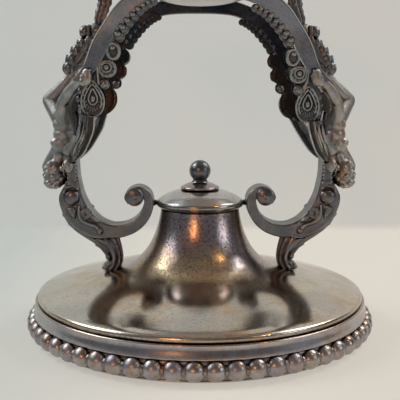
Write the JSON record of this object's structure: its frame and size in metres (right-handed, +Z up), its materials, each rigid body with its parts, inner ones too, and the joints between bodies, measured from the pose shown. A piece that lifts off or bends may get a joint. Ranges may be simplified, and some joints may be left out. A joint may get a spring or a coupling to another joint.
{
  "type": "brides basket",
  "caption": "Silver-plated table basket: beaded spun foot, scroll supports with putti and straps cradling a ruffled glass bowl, and a swinging bail handle.",
  "frame": {"origin": "centre of the underside of the foot, on the surface it stands on", "axes": "+Z up, +X towards the right-hand support and its pivot, +Y away from the viewer of the front"},
  "size_m": [0.1864, 0.1648, 0.3094],
  "materials": {
    "spun_plate": "tarnished silver plate on spun white metal, glossy, worn to copper on its edges",
    "cast_plate": "dark tarnished silver plate on castings, brighter on high places",
    "brass": "dull machined brass",
    "milk_glass": "opaque white glass, glossy"
  },
  "bodies": {
    "frame": {"foot_ring": "spun_plate", "bead_wire": "spun_plate", "side_band": "spun_plate", "base_dome": "spun_plate", "column_cap": "spun_plate", "finial_plate": "spun_plate", "finial_knob": "cast_plate", "front_arch": "cast_plate", "back_arch": "cast_plate", "scroll_left": "cast_plate", "foot_left": "cast_plate", "cap_lug_left": "cast_plate", "putto_left": "cast_plate", "bracket_left": "cast_plate", "pivot_stud_left": "cast_plate", "pivot_nut_left": "cast_plate", "wing_front_left": "cast_plate", "spray_front_left": "cast_plate", "bead_swag_front_left": "cast_plate", "wing_back_left": "cast_plate", "spray_back_left": "cast_plate", "bead_swag_back_left": "cast_plate", "scroll_right": "cast_plate", "foot_right": "cast_plate", "cap_lug_right": "cast_plate", "putto_right": "cast_plate", "bracket_right": "cast_plate", "pivot_stud_right": "cast_plate", "pivot_nut_right": "cast_plate", "wing_front_right": "cast_plate", "spray_front_right": "cast_plate", "bead_swag_front_right": "cast_plate", "wing_back_right": "cast_plate", "spray_back_right": "cast_plate", "bead_swag_back_right": "cast_plate", "tie_rod": "brass", "tie_plate": "brass", "tie_nut": "brass", "foot_screw_left": "brass", "foot_screw_right": "brass"},
    "bail": {"bail_handle": "cast_plate"},
    "bowl": {"glass_bowl": "milk_glass"}
  },
  "joints": [
    {"name": "bail_swing", "type": "hinge", "parent": "frame", "child": "bail", "pos_m": [0, 0, 0.1389], "axis": [1, 0, 0], "range_deg": [-90, 90]},
    {"name": "bowl_lift", "type": "slide", "parent": "frame", "child": "bowl", "axis": [0, 0, 1], "range_m": [0, 0.03]}
  ]
}
